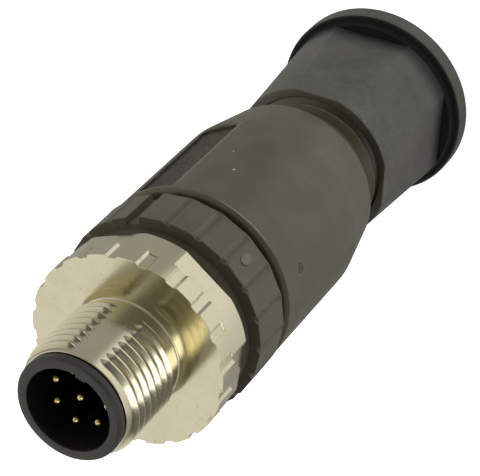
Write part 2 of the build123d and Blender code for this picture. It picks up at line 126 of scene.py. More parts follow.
class Finish(NodeKit):  # one procedural material, measured in millimetres on the object
    def __init__(self, name, **fixed):
        self.material = bpy.data.materials.new(name)
        self.material.use_nodes = True
        super().__init__(self.material.node_tree)
        self.shader = self.tree.nodes["Principled BSDF"]
        for socket, value in fixed.items():
            self.shader.inputs[socket.replace("_", " ")].default_value = value
        place = self.node("ShaderNodeTexCoord", None, None, "Object")
        self.place = self.node("ShaderNodeVectorMath", {"operation": "SCALE"}, {0: place, "Scale": 1 / mm})
        self.x, self.y, self.z = self.split(self.place)
        self.radius = self.x.math("SQRT", self.x * self.x + self.y * self.y)
        self.angle = self.x.math("ARCTAN2", self.y, self.x) * (180 / pi)
        self.turned = self.join(self.radius, 0.0, self.z)  # rings and lines that run round the axis
        self.height = None

    def noise(self, scale, detail=2.0, roughness=0.5, place=None, distortion=0.0):
        values = {"Vector": place or self.place, "Scale": scale, "Detail": detail,
                  "Roughness": roughness, "Distortion": distortion}
        return self.node("ShaderNodeTexNoise", None, values)

    def stretched(self, across, along, round=0.0):
        return self.join(self.x * across + self.radius * round, self.y * across, self.z * along)

    def blend(self, factor, first, second):
        values = {"Factor": factor, "A": first, "B": second}
        made = self.tree.nodes.new("ShaderNodeMix")
        made.data_type = "RGBA"
        for name, value in values.items():
            socket = next(s for s in made.inputs if s.name == name and (s.type == "RGBA" or name == "Factor"))
            if isinstance(value, Signal):
                self.tree.links.new(value.socket, socket)
            else:
                socket.default_value = (*value, 1.0) if name != "Factor" else value
        return Signal(self, next(s for s in made.outputs if s.type == "RGBA"))

    def spot(self, angle, radius, height, size, edge=0.1):  # 1 inside a round mark on the surface
        centre = (radius * cos(radians(angle)), radius * sin(radians(angle)), height)
        gap = self.node("ShaderNodeVectorMath", {"operation": "DISTANCE"}, {0: self.place, 1: centre}, 1)
        return gap.ramp(size, size + edge, 1.0, 0.0)

    def bump(self, height, strength=1.0):  # height in millimetres
        values = {"Height": height, "Distance": mm, "Strength": strength}
        if self.height is not None:
            values["Normal"] = self.height
        self.height = self.node("ShaderNodeBump", None, values)

    def done(self, colour, roughness, metallic=None):
        links = {"Base Color": colour, "Roughness": roughness, "Normal": self.height, "Metallic": metallic}
        for name, value in links.items():
            if isinstance(value, Signal):
                self.tree.links.new(value.socket, self.shader.inputs[name])
        return self.material


class Shaper(NodeKit):  # one Geometry Nodes tree with named inputs, which ends in its material
    def __init__(self, name, sizes):
        super().__init__(bpy.data.node_groups.new(name, "GeometryNodeTree"))
        face = self.tree.interface
        face.new_socket("Core", in_out="INPUT", socket_type="NodeSocketGeometry")
        self.identifiers = {}
        for label, value in sizes.items():
            kind = "NodeSocketInt" if isinstance(value, int) else "NodeSocketFloat"
            socket = face.new_socket(label, in_out="INPUT", socket_type=kind)
            socket.default_value = value
            self.identifiers[label] = socket.identifier
        socket = face.new_socket("Finish", in_out="INPUT", socket_type="NodeSocketMaterial")
        self.identifiers["Finish"] = socket.identifier
        face.new_socket("Geometry", in_out="OUTPUT", socket_type="NodeSocketGeometry")
        entry = self.tree.nodes.new("NodeGroupInput")
        self.value = {socket.name: Signal(self, socket) for socket in entry.outputs if socket.name}
        self.end = self.tree.nodes.new("NodeGroupOutput")

    def block(self, across, along):  # a closed block of 1 x 1 x 1 about the origin, to be bent into shape
        return self.node("GeometryNodeMeshCube", None,
                         {"Size": (1, 1, 1), "Vertices X": across, "Vertices Y": along, "Vertices Z": 2})

    def around(self, radius, angle, height):  # a place from millimetres and degrees
        turn = angle * (pi / 180)
        return self.join(radius * turn.cosine() * mm, radius * turn.sine() * mm, height * mm)

    def bend(self, mesh, place):
        return self.node("GeometryNodeSetPosition", None, {"Geometry": mesh, "Position": place})

    def repeat(self, mesh, count, step):  # copies of a mesh round the axis
        index = self.node("GeometryNodeInputIndex")
        points = self.node("GeometryNodePoints", None, {"Count": count})
        turn = self.node("FunctionNodeEulerToRotation", None, {0: self.join(0.0, 0.0, index * step * (pi / 180))})
        return self.node("GeometryNodeInstanceOnPoints", None,
                         {"Points": points, "Instance": mesh, "Rotation": turn})

    def finish(self, *parts):
        joined = self.tree.nodes.new("GeometryNodeJoinGeometry")
        for part in reversed(parts):
            self.tree.links.new(part.socket, joined.inputs[0])
        real = self.node("GeometryNodeRealizeInstances", None, {0: Signal(self, joined.outputs[0])})
        done = self.node("GeometryNodeSetMaterial", None, {"Geometry": real, "Material": self.value["Finish"]})
        self.tree.links.new(done.socket, self.end.inputs[0])

    def apply(self, core, finish, **sizes):  # the modifier becomes plain mesh
        modifier = core.modifiers.new("shape", "NODES")
        modifier.node_group = self.tree
        for label, value in sizes.items():
            modifier[self.identifiers[label]] = value
        modifier[self.identifiers["Finish"]] = finish
        evaluated = core.evaluated_get(bpy.context.evaluated_depsgraph_get())
        made = bpy.data.meshes.new_from_object(evaluated)
        core.modifiers.remove(modifier)
        core.data = made
        return core


def newPiece(name, mesh, finish=None):
    piece = bpy.data.objects.new(name, mesh)
    scene.collection.objects.link(piece)
    if finish is not None:
        mesh.materials.clear()
        mesh.materials.append(finish)
    return piece


def softened(profile, steps=4):  # (radius, height, softness) corners, each softness a small curve
    points = []
    for before, corner, after in zip(profile[-1:] + profile[:-1], profile, profile[1:] + profile[:1]):
        here = Vector(corner[:2])
        if len(corner) < 3:
            points.append(here)
            continue
        start = here + (Vector(before[:2]) - here).normalized() * corner[2]
        end = here + (Vector(after[:2]) - here).normalized() * corner[2]
        for step in range(steps + 1):
            t = step / steps
            points.append(start * (1 - t) ** 2 + here * 2 * t * (1 - t) + end * t ** 2)
    return points


def turnedMesh(name, profile, columns=240, shape=None, steps=4, sharp=38):  # a closed profile turned about the axis
    points = softened(profile, steps)
    if isinstance(columns, int):
        columns = np.arange(columns) * 360 / columns
    rows = []
    for radius, height in points:
        angles = columns(height) if callable(columns) else columns
        radii = shape(angles, radius, height) if shape else np.full(len(angles), radius)
        turn = np.radians(angles)
        rows.append(np.stack([radii * np.cos(turn), radii * np.sin(turn), np.full(len(angles), height)], 1))
    grid = np.array(rows) * mm
    rowCount, columnCount = grid.shape[:2]
    faces = []
    for row in range(rowCount):
        above = (row + 1) % rowCount
        for column in range(columnCount):
            beside = (column + 1) % columnCount
            faces.append((row * columnCount + column, row * columnCount + beside,
                          above * columnCount + beside, above * columnCount + column))
    mesh = bpy.data.meshes.new(name)
    mesh.from_pydata(grid.reshape(-1, 3).tolist(), [], faces)
    return tidied(mesh, sharp)


def tidied(mesh, sharp=38, merge=0.002):  # seams closed, faces outwards, soft shading with sharp edges
    work = bmesh.new()
    work.from_mesh(mesh)
    bmesh.ops.remove_doubles(work, verts=work.verts, dist=merge * mm)
    bmesh.ops.dissolve_degenerate(work, edges=work.edges, dist=merge * mm)
    bmesh.ops.recalc_face_normals(work, faces=work.faces)
    work.to_mesh(mesh)
    work.free()
    mesh.shade_smooth()
    mesh.set_sharp_from_angle(angle=radians(sharp))
    return mesh


def joined(name, finish, *meshes):  # several closed meshes as one piece
    work = bmesh.new()
    for mesh in meshes:
        work.from_mesh(mesh)
    whole = bpy.data.meshes.new(name)
    work.to_mesh(whole)
    work.free()
    return newPiece(name, whole, finish)


def settle(piece, body, slot, *nodes):  # a finished piece joins its body
    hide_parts(*nodes)
    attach(piece, body)
    print(piece.name, len(piece.data.polygons), "faces")
    return piece


def nickelPlate():
    f = Finish("nickelPlate", Metallic=1.0)
    rings = f.noise(9.0, 3.0, 0.6, f.turned)
    cloud = f.noise(0.45, 3.0, 0.55)
    grain = f.noise(14.0, 2.0, 0.6)
    pits = f.noise(2.4, 1.0, 0.4).ramp(0.72, 0.77)
    hairlines = f.noise(2.6, 2.0, 0.5, f.stretched(3.0, 0.25)).ramp(0.66, 0.72)
    threaded = f.z.ramp(56.2, 56.6) * f.z.ramp(63.2, 63.6, 1.0, 0.0)
    # painted shade: the thread's roots are darkened, as shade falls there
    root = f.radius.ramp(5.46, 5.8, 1.0, 0.0) * f.radius.ramp(5.45, 5.46) * threaded
    tint = f.blend(cloud.ramp(0.35, 0.7), (0.735, 0.69, 0.52), (0.70, 0.655, 0.465))
    tint = f.blend(root * 0.55, tint, (0.34, 0.30, 0.20))
    tint = f.blend(pits * 0.4, tint, (0.36, 0.33, 0.24))
    f.bump(rings * 0.003 + grain * 0.002, 0.4)
    f.bump(hairlines * -0.006 + pits * -0.015, 0.3)
    return f.done(tint, rings * 0.04 + cloud * 0.06 + hairlines * 0.08 + 0.11)


def mouldedPlastic(name, light, dark, gloss, grainSize=5.0):
    f = Finish(name, Specular_IOR_Level=0.5)
    cloud = f.noise(0.35, 3.0, 0.5)
    grain = f.noise(grainSize, 3.0, 0.65)
    flow = f.noise(1.4, 2.0, 0.5, f.stretched(0.6, 0.12))
    f.bump(grain * 0.010 + flow * 0.006, 0.35)
    return f, cloud, grain, flow, f.blend(cloud.ramp(0.3, 0.7), dark, light), cloud * 0.10 + grain * 0.06 + gloss


def sleevePlastic():
    f, cloud, grain, flow, tint, gloss = mouldedPlastic(
        "sleevePlastic", (0.083, 0.074, 0.046), (0.068, 0.060, 0.037), 0.34)
    body = f.z.ramp(27.6, 27.8) * f.z.ramp(41.9, 42.0, 1.0, 0.0)
    # painted shade: the label recess's floor is darkened, broken by a pattern of lettering
    recessShade = f.radius.ramp(9.90, 10.05, 1.0, 0.0) * body * f.y.ramp(1.0, 1.5)
    weave = f.noise(4.5, 3.0, 0.7, f.stretched(1.0, 0.45)).ramp(0.42, 0.62)
    tint = f.blend(recessShade * (1 - weave * 0.6), tint, (0.020, 0.018, 0.011))
    # painted highlight along the label recess's edge near 139.4 degrees
    rim = abs(f.angle - 139.4).ramp(0.3, 0.9, 1.0, 0.0) * body * f.z.ramp(41.3, 41.0)
    tint = f.blend(rim * 0.5, tint, (0.17, 0.16, 0.12))
    front = f.z.ramp(41.93, 41.99)
    tint = f.blend(front * 0.9, tint, (0.075, 0.066, 0.040))
    # painted light: the neck thread, which sits in the nut's shade, gets a lighter brown tone
    neck = f.z.ramp(21.0, 21.2, 1.0, 0.0)
    tint = f.blend(neck, tint, (0.085, 0.070, 0.042))
    # painted highlight: a thin light line along the front edge, around 94 degrees
    edge = abs(f.z - 41.85).ramp(0.03, 0.10, 1.0, 0.0) * abs(f.angle - 94).ramp(8, 22, 1.0, 0.0) * f.radius.ramp(10.1, 10.12)
    tint = f.blend(edge * 0.7, tint, (0.22, 0.21, 0.15))
    for angle, radius, height, size, strength in (
            (118.2, 10.15, 36.6, 0.08, 0.9), (127.0, 10.15, 33.7, 0.06, 0.5), (88.0, 9.80, 25.7, 0.04, 0.5)):
        tint = f.blend(f.spot(angle, radius, height, size, 0.06) * strength, tint, (0.55, 0.54, 0.46))
    for angle, height in ((85.0, 30.8), (62.0, 31.8)):
        tint = f.blend(f.spot(angle, 10.15, height, 0.06, 0.06) * 0.7, tint, (0.015, 0.015, 0.012))
    # painted shade in the dimple and a painted highlight on its rim
    dimple = f.spot(52.5, 10.15, 39.0, 0.42, 0.2)
    ring = f.spot(52.5, 10.15, 39.0, 0.62, 0.12) - dimple
    tint = f.blend(dimple * 0.7, tint, (0.02, 0.02, 0.018))
    tint = f.blend(ring * 0.4, tint, (0.13, 0.125, 0.10))
    f.bump(dimple * -0.12, 0.8)
    return f.done(tint, gloss + front * 0.3 + recessShade * 0.2)


def gripPlastic():
    f, cloud, grain, flow, tint, gloss = mouldedPlastic(
        "gripPlastic", (0.084, 0.077, 0.049), (0.067, 0.062, 0.040), 0.38)
    lands = f.radius.ramp(9.9, 10.0) * f.z.ramp(48.0, 48.3, 1.0, 0.0)
    off = abs((f.angle - 5.5).wrapped(-9, 9))
    side = (f.angle - 5.5).wrapped(-9, 9)
    # painted highlight: pale lines along one edge of each land
    paleEdge = abs(side + 6.1).ramp(0.1, 0.45, 1.0, 0.0) * lands * f.noise(1.3, 3.0, 0.6).ramp(0.35, 0.6)
    tint = f.blend(paleEdge * 0.3, tint, (0.18, 0.17, 0.135))
    dot = f.spot(79.3, 10.34, 45.8, 0.7, 0.15) * f.radius.ramp(10.31, 10.33)
    tint = f.blend(dot * 0.7, tint, (0.13, 0.125, 0.10))
    # painted shade on the front band and the lands' front slopes
    band = f.z.ramp(48.05, 48.3)
    tint = f.blend(band * 0.97, tint, (0.034, 0.027, 0.011))
    # painted shade in the valleys between the lands
    valley = off.ramp(7.4, 8.4) * lands
    tint = f.blend(valley * 0.35, tint, (0.040, 0.036, 0.026))
    return f.done(tint, gloss + band * 0.3)


def nutPlastic():
    f, cloud, grain, flow, tint, gloss = mouldedPlastic(
        "nutPlastic", (0.071, 0.069, 0.057), (0.055, 0.054, 0.045), 0.40)
    mottle = f.noise(1.1, 5.0, 0.7)
    tint = f.blend(mottle.ramp(0.35, 0.7) * 0.5, tint, (0.095, 0.094, 0.080))
    scuff = f.noise(3.2, 4.0, 0.75).ramp(0.56, 0.72)
    paleEdge = scuff * f.z.ramp(15.2, 16.5) * abs(f.angle - 88).ramp(5, 16, 1.0, 0.0)
    tint = f.blend(paleEdge * 0.8, tint, (0.42, 0.42, 0.38))
    rubbed = f.noise(2.0, 4.0, 0.7, f.stretched(0.7, 1.6)).ramp(0.62, 0.76) * f.z.ramp(9.0, 14.0)
    tint = f.blend(rubbed * 0.35, tint, (0.24, 0.24, 0.21))
    low = f.z.ramp(2.9, 5.6, 1.0, 0.0) * f.radius.ramp(10.15, 10.2, 1.0, 0.0)  # painted shade in the corner at the flange
    tint = f.blend(low * 0.92, tint, (0.008, 0.008, 0.007))
    # painted shade: the flange's front face and the ledges at the flats' ends are made near black
    face = f.z.ramp(1.75, 1.9) * f.z.ramp(2.9, 2.95, 1.0, 0.0) * f.radius.ramp(10.34, 10.44, 1.0, 0.0)
    tint = f.blend(face * 0.97, tint, (0.004, 0.004, 0.004))
    front = f.z.ramp(16.55, 16.65)
    tint = f.blend(front * (1 - paleEdge) * 0.6, tint, (0.075, 0.064, 0.042))
    f.bump(mottle * 0.02, 0.5)
    return f.done(tint, gloss + paleEdge * 0.2 + face * 0.3 + low * 0.2)


def insertPlastic():
    f, cloud, grain, flow, tint, gloss = mouldedPlastic(
        "insertPlastic", (0.024, 0.023, 0.019), (0.018, 0.017, 0.014), 0.34, 7.0)
    # painted shade deep in the well
    wellShade = f.radius.ramp(4.25, 4.35, 1.0, 0.0) * f.z.ramp(64.5, 64.9, 1.0, 0.0)
    tint = f.blend(wellShade, tint, (0.006, 0.006, 0.006))
    return f.done(tint, gloss)


def sealRubber():
    f = Finish("sealRubber")
    bloom = f.noise(0.8, 4.0, 0.6)
    grain = f.noise(11.0, 2.0, 0.6)
    f.bump(grain * 0.012, 0.4)
    return f.done(f.blend(bloom.ramp(0.35, 0.7), (0.105, 0.088, 0.056), (0.135, 0.115, 0.075)), bloom * 0.15 + 0.6)


def clampPlastic():
    f = Finish("clampPlastic")
    cloud = f.noise(0.6, 3.0, 0.5)
    grain = f.noise(8.0, 2.0, 0.5)
    f.bump(grain * 0.008, 0.4)
    return f.done(f.blend(cloud, (0.62, 0.62, 0.57), (0.54, 0.54, 0.49)), cloud * 0.1 + 0.38)


def goldPlate():
    f = Finish("goldPlate", Metallic=1.0)
    cloud = f.noise(2.2, 3.0, 0.5)
    lines = f.noise(12.0, 2.0, 0.5, f.stretched(1.0, 0.1))
    f.bump(lines * 0.004, 0.4)
    tint = f.blend(cloud, (0.93, 0.76, 0.34), (0.84, 0.66, 0.25))
    tint = f.blend(f.z.ramp(62.66, 62.8), (0.035, 0.025, 0.010), tint)  # the well keeps the light off the shafts
    return f.done(tint, cloud * 0.10 + lines * 0.06 + 0.14)


def screwSteel():
    f = Finish("screwSteel", Metallic=1.0)
    cloud = f.noise(3.0, 3.0, 0.5)
    marks = f.noise(16.0, 2.0, 0.6)
    f.bump(marks * 0.006, 0.5)
    return f.done(f.blend(cloud, (0.62, 0.61, 0.58), (0.48, 0.47, 0.44)), marks * 0.12 + 0.24)


finishes = {
    "nickel": nickelPlate(), "sleeve_plastic": sleevePlastic(), "grip_plastic": gripPlastic(),
    "nut_plastic": nutPlastic(), "insert_plastic": insertPlastic(), "seal_rubber": sealRubber(),
    "clamp_plastic": clampPlastic(), "gold": goldPlate(), "screw_steel": screwSteel(),
}
print("finishes made")


def heights(node):  # where a CAD node starts and ends on the axis, in millimetres
    low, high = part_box(node)
    return low.z / mm, high.z / mm


def ridgeTree():
    tree = Shaper("threadRidge", {
        "Crest radius": 5.95, "Root radius": 5.45, "Pitch": 1.0, "Turns": 7.4, "Base": 55.78,
        "Steps": 1400, "First angle": 0.0, "Channel angle": 114.0, "Channel half width": 12.0, "Fade": 1.6,
    })
    v = tree.value
    block = tree.block(v["Steps"], 17)
    along, across, depth = tree.split(tree.node("GeometryNodeInputPosition"))
    along = along + 0.5
    turn = along * v["Turns"]
    angle = turn * 360 + v["First angle"]
    rise = abs(across).ramp(0.0625, 0.4375, 1.0, 0.0, smooth=False)
    ends = turn.least(v["Turns"] - turn).ramp(0.0, 0.4)
    gap = abs((angle - v["Channel angle"]).wrapped(-90, 90))
    clear = gap.ramp(v["Channel half width"], v["Channel half width"] + v["Fade"])
    sunk = v["Root radius"] - 0.05
    share = ends * clear
    rise = ((rise + share - 1).most(0.0) + rise * share) * 0.5  # the ends get lower and narrower
    top = sunk + (v["Crest radius"] - sunk) * rise
    bottom = v["Root radius"] - 0.2
    radius = bottom + (top - bottom) * (depth + 0.5)
    height = v["Base"] + (turn + across) * v["Pitch"]
    tree.finish(v["Core"], tree.bend(block, tree.around(radius, angle, height)))
    return tree


threadRidge = ridgeTree()

coupling = {
    "bore": 4.93, "root": 5.45, "crest": 5.95, "fillet": 0.2, "rearCrest": 0.98, "frontCrest": 0.6,
    "disc": 9.98, "discThickness": 2.3, "discEdge": 0.035,
    "lobes": 20, "notchAngle": 61.8, "notchDepth": 0.25, "notchWidth": 0.8, "notchRun": 0.25,
    "collar": 9.8, "collarLength": 2.6, "flats": 6, "flatReach": 9.36, "flatAngle": 26.8,
    "cavity": 7.58, "cavityDepth": 2.2,
    "stepsPerTurn": 190, "firstAngle": 42.0, "channelAngle": 113.8, "channelHalfWidth": 10.5, "channelEnd": 11.0,
}


def spread(count, first, half, inside, outside):  # columns that meet the edges of features round the axis
    share = 360 / count
    across = np.concatenate([np.linspace(-half, half, inside, endpoint=False),
                             np.linspace(half, share - half, outside, endpoint=False)])
    return np.concatenate([first + index * share + across for index in range(count)])


def lobedDisc(rear, front):  # lobes between shallow notches with flat floors
    c = coupling
    step = 360 / c["lobes"]
    floor = degrees(c["notchWidth"] / 2 / c["disc"])
    half = floor + degrees(c["notchRun"] / c["disc"])

    def outline(angles, radius, height):
        if radius < c["disc"] - 0.5:
            return np.full(len(angles), radius)
        off = np.abs((angles - c["notchAngle"] + step / 2) % step - step / 2)
        rise = np.clip((off - floor) / (half - floor), 0, 1)
        bottom = (c["disc"] - c["notchDepth"]) * cos(radians(floor)) / np.cos(np.radians(np.minimum(off, floor)))
        return bottom + (c["disc"] - bottom) * rise - (c["disc"] - radius)

    return turnedMesh("disc", [
        (c["bore"], rear + 0.01), (c["disc"], rear + 0.01, c["discEdge"]), (c["disc"], front, c["discEdge"]),
        (c["disc"] - 0.12, front), (c["disc"] - 0.6, front), (c["bore"], front),
    ], spread(c["lobes"], c["notchAngle"], half, 16, 8), outline, sharp=28)


def flatCollar(rear, front):  # a round collar with flats
    c = coupling
    step = 360 / c["flats"]
    half = degrees(acos(c["flatReach"] / c["collar"]))

    def outline(angles, radius, height):
        if radius < c["flatReach"] - 0.5:
            return np.full(len(angles), radius)
        off = np.radians((angles - c["flatAngle"] + step / 2) % step - step / 2)
        return np.minimum(c["flatReach"] / np.cos(off), c["collar"]) - (c["collar"] - radius)

    return turnedMesh("collar", [
        (c["cavity"], rear, 0.15), (c["collar"], rear, 0.1), (c["collar"], front + 0.1),
        (c["bore"], front + 0.1), (c["bore"], rear + c["cavityDepth"]), (c["cavity"], rear + c["cavityDepth"]),
    ], spread(c["flats"], c["flatAngle"], half, 12, 14), outline, 8, 14)


def makeCoupling():
    c = coupling
    rear, front = heights("coupling_screw")
    discRear = rear + c["collarLength"]
    discFront = discRear + c["discThickness"]
    barrel = newPiece("barrel", turnedMesh("barrel", [
        (c["bore"], discRear + 0.1), (c["root"] + c["fillet"] + 0.1, discRear + 0.1),
        (c["root"] + c["fillet"] + 0.1, discFront - 0.01), (c["root"], discFront, c["fillet"]),
        (c["root"], front, 0.1), (c["bore"], front, 0.08),
    ]))
    base = discFront + c["rearCrest"]
    turns = front - c["frontCrest"] - base
    threadRidge.apply(barrel, finishes["nickel"], **{
        "Crest radius": c["crest"], "Root radius": c["root"], "Pitch": 1.0, "Turns": turns, "Base": base,
        "Steps": int(turns * c["stepsPerTurn"]), "First angle": c["firstAngle"],
        "Channel angle": c["channelAngle"], "Channel half width": c["channelHalfWidth"], "Fade": c["channelEnd"],
    })
    tidied(barrel.data, 30)
    piece = joined("couplingScrew", finishes["nickel"], barrel.data, lobedDisc(discRear, discFront),
                   flatCollar(rear, discRear))
    bpy.data.objects.remove(barrel)
    settle(piece, "coupling", "nickel", "coupling_screw")


makeCoupling()

grip = {
    "bore": 7.53, "floor": 10.13, "band": 9.35, "land": 10.3, "bandLength": 1.2, "slope": 0.35,
    "lands": 20, "firstLand": 5.5, "valley": 6.0, "edge": 0.08, "notch": 0.3, "rearRun": 0.8,
    "indexAngle": 143.0, "indexWidth": 1.4, "indexDepth": 0.75, "besideAngle": 138.0, "besideWidth": 0.6,
    "dotAngle": 79.3, "dotFromFront": 4.0, "dotWidth": 1.0, "dotLength": 1.5, "dotHeight": 0.04,
}


def landTree():
    tree = Shaper("gripLands", {
        "Land radius": 10.3, "Floor radius": 10.0, "Band radius": 9.35, "Rear": 43.7, "Front": 48.6, "Slope": 0.35,
        "Count": 20, "First angle": 5.5, "Valley": 6.0, "Edge": 0.1, "Notch": 0.3, "Rear run": 0.8,
    })
    v = tree.value
    block = tree.block(13, 29)
    across, along, depth = tree.split(tree.node("GeometryNodeInputPosition"))
    share = 360 / v["Count"]
    off = across * share
    half = (share - v["Valley"]) * 0.5
    flat = (half * (pi / 180)).cosine() / (off * (pi / 180)).cosine()  # each land is flat, not round
    length = v["Front"] - v["Rear"]
    height = v["Rear"] + (along + 0.5) * length
    slant = ((share * 0.5 - abs(off)) / (v["Valley"] * 0.5)).ramp(0.0, 1.0, smooth=False)
    rise = slant.most((height - v["Rear"]).ramp(0.0, v["Rear run"], 1.0, 0.0))  # the valleys run out at the rear
    notch = (1 - rise) * (v["Front"] - height).ramp(0.45, 0.8, v["Notch"], 0.0)
    top = v["Floor radius"] + (v["Land radius"] * flat - v["Floor radius"]) * rise - notch
    frontDrop = (v["Front"] - height).ramp(0.0, v["Slope"], 0.0, 1.0, smooth=False)
    rearDrop = (height - v["Rear"]).ramp(0.0, v["Edge"], v["Edge"], 0.0)
    top = v["Band radius"] + (top - v["Band radius"]) * frontDrop - rearDrop
    bottom = v["Band radius"] - 0.3
    place = tree.around(bottom + (top - bottom) * (depth + 0.5), off + v["First angle"], height)
    tree.finish(v["Core"], tree.repeat(tree.bend(block, place), v["Count"], share))
    return tree


def makeGrip():
    g = grip
    rear, front = heights("grip_ring")
    landFront = front - g["bandLength"]
    core = turnedMesh("gripCore", [
        (g["bore"], rear, 0.1), (g["floor"] - 0.4, rear, 0.1), (g["floor"] - 0.4, landFront - 0.5),
        (g["band"], landFront - 0.1), (g["band"], front, 0.15), (g["bore"], front, 0.1),
    ])
    piece = newPiece("gripCore", core)
    landTree().apply(piece, finishes["grip_plastic"], **{
        "Land radius": g["land"], "Floor radius": g["floor"], "Band radius": g["band"], "Rear": rear + 0.01,
        "Front": landFront, "Slope": g["slope"], "Count": g["lands"], "First angle": g["firstLand"],
        "Valley": g["valley"], "Edge": g["edge"], "Notch": g["notch"], "Rear run": g["rearRun"],
    })
    length = landFront - g["slope"] - rear - 0.02
    beside = boxMesh(g["besideWidth"], 1.0, length, g["besideAngle"], g["land"] - 0.52, rear + 0.02 + length / 2)
    filled = joined("gripFilled", finishes["grip_plastic"], piece.data, beside)
    bpy.data.objects.remove(piece)
    cut(filled, newPiece("indexCutter", boxMesh(
        g["indexWidth"], 2 * g["indexDepth"], 3 * (front - rear), g["indexAngle"], g["land"], rear)))
    top = g["land"] - 9 + g["dotHeight"]
    dot = turnedMesh("dot", [(0.0, 0.0), (0.5, 0.0), (0.5, top, 0.05), (0.0, top)], 40)
    dot.transform(Matrix.Rotation(radians(g["dotAngle"]), 4, "Z")
                  @ Matrix.Translation((9 * mm, 0, (front - g["dotFromFront"]) * mm))
                  @ Matrix.Rotation(radians(90), 4, "Y") @ Matrix.Diagonal((g["dotLength"], g["dotWidth"], 1, 1)))
    whole = joined("gripRing", finishes["grip_plastic"], filled.data, dot)
    bpy.data.objects.remove(filled)
    tidied(whole.data, 20)
    settle(whole, "plug_core", "grip_plastic", "grip_ring")


def boxMesh(width, depth, length, angle, radius, height):  # a box on the surface at an angle
    work = bmesh.new()
    bmesh.ops.create_cube(work, size=1)
    turn = Matrix.Rotation(radians(angle), 4, "Z")
    bmesh.ops.transform(work, matrix=Matrix.Diagonal((depth * mm, width * mm, length * mm, 1)), verts=work.verts)
    bmesh.ops.transform(work, matrix=turn @ Matrix.Translation((radius * mm, 0, height * mm)), verts=work.verts)
    mesh = bpy.data.meshes.new("box")
    work.to_mesh(mesh)
    work.free()
    return mesh


def cut(piece, cutter, solver="EXACT"):
    modifier = piece.modifiers.new("cut", "BOOLEAN")
    modifier.object = cutter
    modifier.solver = solver
    modifier.use_self = True
    evaluated = piece.evaluated_get(bpy.context.evaluated_depsgraph_get())
    mesh = bpy.data.meshes.new_from_object(evaluated)
    piece.modifiers.remove(modifier)
    piece.data = mesh
    bpy.data.objects.remove(cutter)


makeGrip()

seal = {"bore": 7.58, "outside": 9.2, "softness": 0.3}


def makeSeal():
    s = seal
    rear, front = heights("sleeve_seal")
    mesh = turnedMesh("sleeveSeal", [
        (s["bore"], rear, 0.1), (s["outside"], rear, s["softness"]), (s["outside"], front, s["softness"]),
        (s["bore"], front, 0.1),
    ], 200)
    settle(newPiece("sleeveSealRing", mesh, finishes["seal_rubber"]), "sleeve_carriage", "seal_rubber", "sleeve_seal")


makeSeal()

sleeve = {
    "radius": 10.15, "rear": 8.94, "coneLength": 6.3, "cylinderLength": 14.8, "edge": 0.35, "shoulder": 0.35,
    "threadBore": 7.58, "threadBoreLength": 5.2, "chamber": 7.3, "chamberFromRear": 2.9, "hole": 4.1,
    "partition": 1.4, "seatBore": 5.03, "sealProud": 0.8, "neckBore": 5.88, "neck": 6.9, "crest": 7.6,
    "pitch": 1.41, "labelAngle": 152.5, "labelWidth": 4.3, "labelLength": 13.3, "labelFromFront": 7.5,
    "labelDepth": 0.53, "labelCorner": 0.5,
}


def labelCutter(front):
    s = sleeve
    work = bmesh.new()
    rings = []
    levels = ((-1.0, 1.3), (0.15, 0.12), (0.30, 0.0), (s["labelDepth"], 0.0))
    for depth, grow in levels:
        ring = []
        for sideways, lengthways in ((1, 1), (-1, 1), (-1, -1), (1, -1)):
            for step in range(7):
                turn = radians({(1, 1): 0, (-1, 1): 90, (-1, -1): 180, (1, -1): 270}[(sideways, lengthways)]
                               + step * 15)
                corner = s["labelCorner"]
                across = sideways * (s["labelWidth"] / 2 - corner) + (corner + grow) * cos(turn)
                along = lengthways * (s["labelLength"] / 2 - corner) + (corner + grow) * sin(turn)
                ring.append(work.verts.new((
                    (s["radius"] - depth) * mm, across * mm, (front - s["labelFromFront"] + along) * mm)))
        rings.append(ring)
    for lower, upper in zip(rings, rings[1:]):
        for index in range(len(lower)):
            beside = (index + 1) % len(lower)
            work.faces.new((lower[index], lower[beside], upper[beside], upper[index]))
    work.faces.new(rings[0])
    work.faces.new(rings[-1])
    bmesh.ops.recalc_face_normals(work, faces=work.faces)
    bmesh.ops.transform(work, matrix=Matrix.Rotation(radians(s["labelAngle"]), 4, "Z"), verts=work.verts)
    mesh = bpy.data.meshes.new("labelCutter")
    work.to_mesh(mesh)
    work.free()
    return newPiece("labelCutter", mesh)


